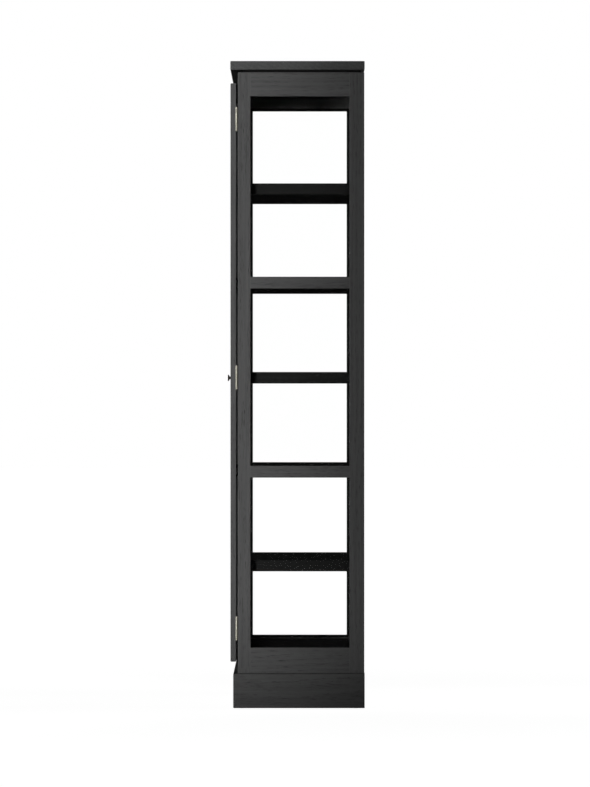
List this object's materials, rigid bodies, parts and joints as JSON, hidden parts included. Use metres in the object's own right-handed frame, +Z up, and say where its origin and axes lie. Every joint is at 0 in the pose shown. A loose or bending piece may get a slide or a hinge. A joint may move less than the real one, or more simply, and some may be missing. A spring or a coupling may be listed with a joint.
{
  "type": "glazed bookcase",
  "caption": "Tall free-standing bookcase in black stained wood with glazed sides, a pair of glazed hinged doors, fixed and loose shelves, a plain plinth and a flat top.",
  "frame": {"origin": "middle of the footprint of the whole object, on the floor", "axes": "+Z up, the doors face -Y, +X to the right of someone who faces the doors"},
  "size_m": [1.067, 0.4572, 2.134],
  "materials": {
    "stained_wood": "open-pore black stain, satin",
    "stained_panel": "black stained panel, matte",
    "clear_glass": "clear, polished",
    "hinge_brass": "pale brushed brass",
    "dark_bronze": "dark bronze, satin",
    "steel": "zinc plated",
    "black_nylon": "moulded, matte"
  },
  "bodies": {
    "cabinet": {"top_panel": "stained_wood", "top_spacer": "stained_wood", "front_top_rail": "stained_wood", "front_bottom_rail": "stained_wood", "door_stops": "stained_wood", "case_top": "stained_wood", "case_floor": "stained_wood", "upper_fixed_shelf": "stained_wood", "lower_fixed_shelf": "stained_wood", "upper_shelf": "stained_wood", "middle_shelf": "stained_wood", "lower_shelf": "stained_wood", "plinth_front": "stained_wood", "plinth_back": "stained_wood", "plinth_ends": "stained_wood", "plinth_blocks": "stained_wood", "side_beads": "stained_wood", "right_front_stile": "stained_wood", "right_back_stile": "stained_wood", "right_top_rail": "stained_wood", "right_bottom_rail": "stained_wood", "right_mid_rails": "stained_wood", "left_front_stile": "stained_wood", "left_back_stile": "stained_wood", "left_top_rail": "stained_wood", "left_bottom_rail": "stained_wood", "left_mid_rails": "stained_wood", "side_panes": "clear_glass", "shelf_pins": "hinge_brass", "back_panel": "stained_panel", "back_screws": "steel", "glides": "black_nylon", "frame_hinge_leaves": "hinge_brass", "frame_hinge_screws": "hinge_brass", "hinge_pins": "hinge_brass", "catch_magnets": "steel"},
    "right_door": {"right_door_hinge_stile": "stained_wood", "right_door_meeting_stile": "stained_wood", "right_door_top_rail": "stained_wood", "right_door_bottom_rail": "stained_wood", "right_door_mid_rails": "stained_wood", "right_door_panes": "clear_glass", "right_door_beads": "stained_wood", "right_door_hinge_leaves": "hinge_brass", "right_door_hinge_screws": "hinge_brass", "right_door_knob": "dark_bronze", "right_door_knob_screw": "steel", "right_door_strike": "steel"},
    "left_door": {"left_door_hinge_stile": "stained_wood", "left_door_meeting_stile": "stained_wood", "left_door_top_rail": "stained_wood", "left_door_bottom_rail": "stained_wood", "left_door_mid_rails": "stained_wood", "left_door_panes": "clear_glass", "left_door_beads": "stained_wood", "left_door_hinge_leaves": "hinge_brass", "left_door_hinge_screws": "hinge_brass", "left_door_knob": "dark_bronze", "left_door_knob_screw": "steel", "left_door_strike": "steel"}
  },
  "joints": [
    {"name": "right_door_swing", "type": "hinge", "parent": "cabinet", "child": "right_door", "pos_m": [0.5207, -0.19445, 1.091], "axis": [0, 0, 1], "range_deg": [0, 180]},
    {"name": "left_door_swing", "type": "hinge", "parent": "cabinet", "child": "left_door", "pos_m": [-0.5207, -0.19445, 1.091], "axis": [0, 0, -1], "range_deg": [0, 180]}
  ]
}
